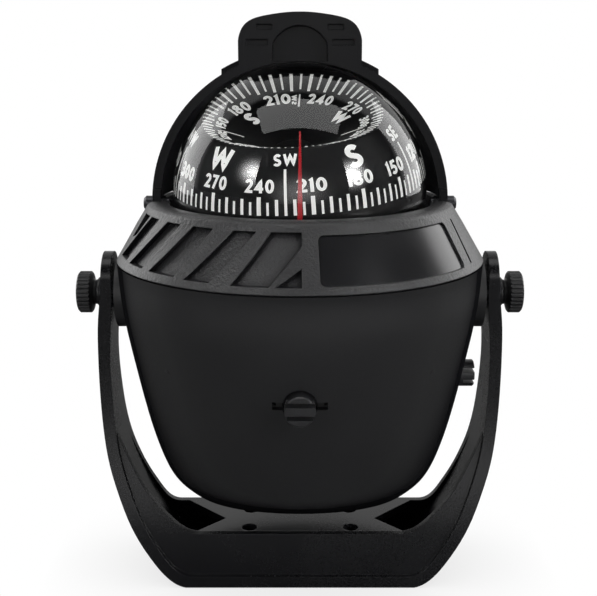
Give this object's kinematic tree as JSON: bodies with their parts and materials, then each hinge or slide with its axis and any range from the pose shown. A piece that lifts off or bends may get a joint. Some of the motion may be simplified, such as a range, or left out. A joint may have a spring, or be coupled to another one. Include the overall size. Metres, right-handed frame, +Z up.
{
  "type": "bracket-mounted marine compass",
  "caption": "Liquid-filled dome compass tilting in a U bracket, with clamp knobs, swing-over sun visor, gimballed card and two turnable compensators.",
  "frame": {"origin": "centre of the bracket's underside", "axes": "+Z up, -Y towards the reader, +X to the reader's right (the tilt axis is along X)"},
  "size_m": [0.1146, 0.0935, 0.1465],
  "materials": {
    "bracket_plastic": "satin black, slightly glossy",
    "housing_plastic": "smooth satin black",
    "bezel_plastic": "fine-grained satin black",
    "visor_plastic": "satin black",
    "clear_acrylic": "clear polished",
    "seal_rubber": "matt",
    "steel": "plain",
    "blackened_steel": "blackened",
    "brass": "machined",
    "red_plastic": "red",
    "knob_plastic": "satin black",
    "card_black": "matt black with white markings",
    "float_foam": "closed-cell foam",
    "jewel_holder": "satin",
    "magnet": "ferrite",
    "spindle_nylon": "satin black",
    "inner_plastic": "satin"
  },
  "bodies": {
    "bracket": {"bracket": "bracket_plastic"},
    "housing": {"lower_housing": "housing_plastic", "bezel_ring": "bezel_plastic", "dome": "clear_acrylic", "dome_gasket": "seal_rubber", "chamber_bowl": "inner_plastic", "clamp_ring": "inner_plastic", "clamp_screws": "steel", "capsule_screws": "steel", "diaphragm": "seal_rubber", "diaphragm_retainer": "inner_plastic", "retainer_screws": "steel", "fill_plug": "brass", "lubber_pin": "red_plastic", "threaded_inserts": "brass", "toothed_washers": "blackened_steel", "visor_pivot_pins": "blackened_steel", "gimbal_stand": "inner_plastic", "gimbal_ring_pins": "steel"},
    "right_washer": {"right_clamp_washer": "blackened_steel"},
    "right_knob": {"right_knob": "knob_plastic", "right_stud": "steel"},
    "left_washer": {"left_clamp_washer": "blackened_steel"},
    "left_knob": {"left_knob": "knob_plastic", "left_stud": "steel"},
    "visor": {"visor": "visor_plastic"},
    "gimbal_ring": {"gimbal_ring": "inner_plastic"},
    "card_cradle": {"card_cradle": "inner_plastic", "cradle_pins": "steel", "pivot_needle": "steel", "counterweight": "brass"},
    "card": {"card_dial": "card_black", "card_float": "float_foam", "jewel_cup": "jewel_holder", "card_magnets": "magnet"},
    "compensator_fore_aft": {"compensator_spindle_fore_aft": "spindle_nylon", "compensator_magnets_fore_aft": "magnet", "compensator_clip_fore_aft": "steel"},
    "compensator_athwart": {"compensator_spindle_athwart": "spindle_nylon", "compensator_magnets_athwart": "magnet", "compensator_clip_athwart": "steel"}
  },
  "joints": [
    {"name": "housing_tilt", "type": "hinge", "parent": "bracket", "child": "housing", "pos_m": [0, 0, 0.0763], "axis": [1, 0, 0], "range_deg": [-45, 45]},
    {"name": "right_washer_travel", "type": "slide", "parent": "housing", "child": "right_washer", "axis": [1, 0, 0], "range_m": [0, 0.0007]},
    {"name": "right_knob_turn", "type": "hinge", "parent": "right_washer", "child": "right_knob", "pos_m": [0.0545, 0, 0.0763], "axis": [1, 0, 0], "range_deg": [0, 360]},
    {"name": "left_washer_travel", "type": "slide", "parent": "housing", "child": "left_washer", "axis": [-1, 0, 0], "range_m": [0, 0.0007]},
    {"name": "left_knob_turn", "type": "hinge", "parent": "left_washer", "child": "left_knob", "pos_m": [-0.0545, 0, 0.0763], "axis": [-1, 0, 0], "range_deg": [0, 360]},
    {"name": "visor_swing", "type": "hinge", "parent": "housing", "child": "visor", "pos_m": [0, 0, 0.0995], "axis": [1, 0, 0], "range_deg": [0, 60]},
    {"name": "gimbal_roll", "type": "hinge", "parent": "housing", "child": "gimbal_ring", "pos_m": [0, 0, 0.097], "axis": [0, 1, 0], "range_deg": [-15, 15]},
    {"name": "gimbal_pitch", "type": "hinge", "parent": "gimbal_ring", "child": "card_cradle", "pos_m": [0, 0, 0.097], "axis": [1, 0, 0], "range_deg": [-15, 15]},
    {"name": "card_turn", "type": "hinge", "parent": "card_cradle", "child": "card", "pos_m": [0, 0, 0.097], "axis": [0, 0, 1], "continuous": true},
    {"name": "compensator_fore_aft_turn", "type": "hinge", "parent": "housing", "child": "compensator_fore_aft", "pos_m": [0, 0, 0.0599], "axis": [0, -1, 0], "continuous": true},
    {"name": "compensator_athwart_turn", "type": "hinge", "parent": "housing", "child": "compensator_athwart", "pos_m": [0, 0, 0.0543], "axis": [1, 0, 0], "continuous": true}
  ],
  "couplings": [
    {"joint": "right_knob_turn", "follows": "right_washer_travel", "rad_per_m": 8975.9},
    {"joint": "left_knob_turn", "follows": "left_washer_travel", "rad_per_m": 8975.9}
  ]
}
